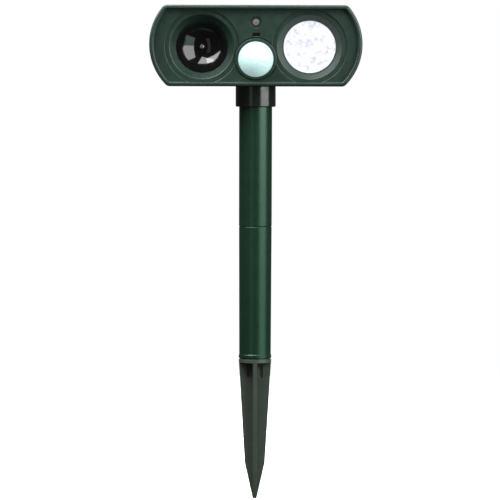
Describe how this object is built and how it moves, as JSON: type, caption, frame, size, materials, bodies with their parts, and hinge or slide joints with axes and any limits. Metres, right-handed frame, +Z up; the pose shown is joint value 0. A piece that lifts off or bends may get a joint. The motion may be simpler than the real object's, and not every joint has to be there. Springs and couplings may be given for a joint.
{
  "type": "ultrasonic pest repeller",
  "caption": "Garden ultrasonic animal repeller: wide dark green head with horn, flash lamp and motion sensor on a push-together pole with a ground spike.",
  "frame": {"origin": "on the pole's axis at the ground line, where the lower tube stands on the spike", "axes": "+Z up along the pole, the head faces -Y, +X to the right seen from the front"},
  "size_m": [0.165, 0.062, 0.3845],
  "materials": {
    "pole_green": "satin dark green moulded plastic",
    "spike_green": "matte greyish green moulded plastic",
    "shell_green": "fine-textured dark green moulded plastic",
    "collar_green": "smooth blackish green moulded plastic",
    "horn_black": "mirror-smooth black moulded plastic",
    "black_plastic": "matte black moulded plastic",
    "rubber": "soft black silicone rubber",
    "milky_lens": "translucent milky polyethylene",
    "clear_lens": "clear moulded acrylic",
    "lamp_lens": "faceted clear acrylic, lit from behind by a cool white LED",
    "chrome": "vacuum-plated reflector",
    "steel": "zinc-plated steel",
    "circuit_board": "green solder mask",
    "copper": "enamelled copper and brass",
    "solar_cell": "dark blue silicon",
    "cell_wrap": "shrink film",
    "lead_jacket": "red PVC jacket",
    "white_plastic": "off-white nylon",
    "led_package": "phosphor under a clear dome"
  },
  "bodies": {
    "spike": {"ground_spike": "spike_green"},
    "lower_pole": {"lower_tube": "pole_green"},
    "upper_pole": {"upper_tube": "pole_green"},
    "mode_knob": {"mode_knob": "black_plastic"},
    "sensitivity_knob": {"sensitivity_knob": "black_plastic"},
    "usb_flap": {"usb_flap": "rubber"},
    "battery_door": {"battery_door": "shell_green", "door_seal": "rubber", "door_screws": "steel"},
    "head": {"socket_collar": "collar_green", "collar_seal": "rubber", "collar_nut": "black_plastic", "front_bezel": "shell_green", "rear_shell": "shell_green", "shell_seal": "rubber", "shell_screws": "steel", "speaker_seal": "rubber", "speaker_horn": "horn_black", "speaker_hub": "steel", "piezo_driver": "copper", "speaker_back_cap": "black_plastic", "speaker_retainer": "black_plastic", "lamp_seal": "rubber", "lamp_lens": "lamp_lens", "lamp_retainer": "black_plastic", "lamp_reflector": "chrome", "lamp_led": "led_package", "lamp_board": "circuit_board", "sensor_dome": "milky_lens", "sensor_shroud": "black_plastic", "motion_sensor": "steel", "indicator_lens": "clear_lens", "indicator_led": "led_package", "light_window": "clear_lens", "light_sensor": "black_plastic", "main_board": "circuit_board", "board_screws": "steel", "board_chips": "black_plastic", "drive_coil": "copper", "board_capacitors": "cell_wrap", "board_connectors": "white_plastic", "solar_panel": "black_plastic", "solar_cells": "solar_cell", "solar_cover": "clear_lens", "battery_cell": "cell_wrap", "battery_holder": "black_plastic", "battery_spring": "steel", "battery_contacts": "steel", "mode_switch": "black_plastic", "sensitivity_dial": "steel", "knob_seals": "rubber", "usb_socket": "steel", "usb_board": "circuit_board", "usb_flap_anchor": "rubber", "speaker_lead": "lead_jacket", "lamp_lead": "lead_jacket", "battery_lead": "lead_jacket", "solar_lead": "lead_jacket"}
  },
  "joints": [
    {"name": "lower_tube_pull", "type": "slide", "parent": "spike", "child": "lower_pole", "axis": [0, 0, 1], "range_m": [0, 0.025]},
    {"name": "upper_tube_pull", "type": "slide", "parent": "lower_pole", "child": "upper_pole", "axis": [0, 0, 1], "range_m": [0, 0.025]},
    {"name": "head_swivel", "type": "hinge", "parent": "upper_pole", "child": "head", "pos_m": [0, 0, 0.2125], "axis": [0, 0, 1], "continuous": true},
    {"name": "mode_knob_turn", "type": "hinge", "parent": "head", "child": "mode_knob", "pos_m": [0.0595, 0.022, 0.245], "axis": [0, 1, 0], "range_deg": [0, 250]},
    {"name": "sensitivity_knob_turn", "type": "hinge", "parent": "head", "child": "sensitivity_knob", "pos_m": [-0.0595, 0.022, 0.245], "axis": [0, 1, 0], "range_deg": [0, 270]},
    {"name": "usb_flap_hinge", "type": "hinge", "parent": "head", "child": "usb_flap", "pos_m": [0.042, 0.028, 0.2273], "axis": [1, 0, 0], "range_deg": [0, 110]},
    {"name": "battery_door_pull", "type": "slide", "parent": "head", "child": "battery_door", "axis": [0, 1, 0], "range_m": [0, 0.015]}
  ]
}
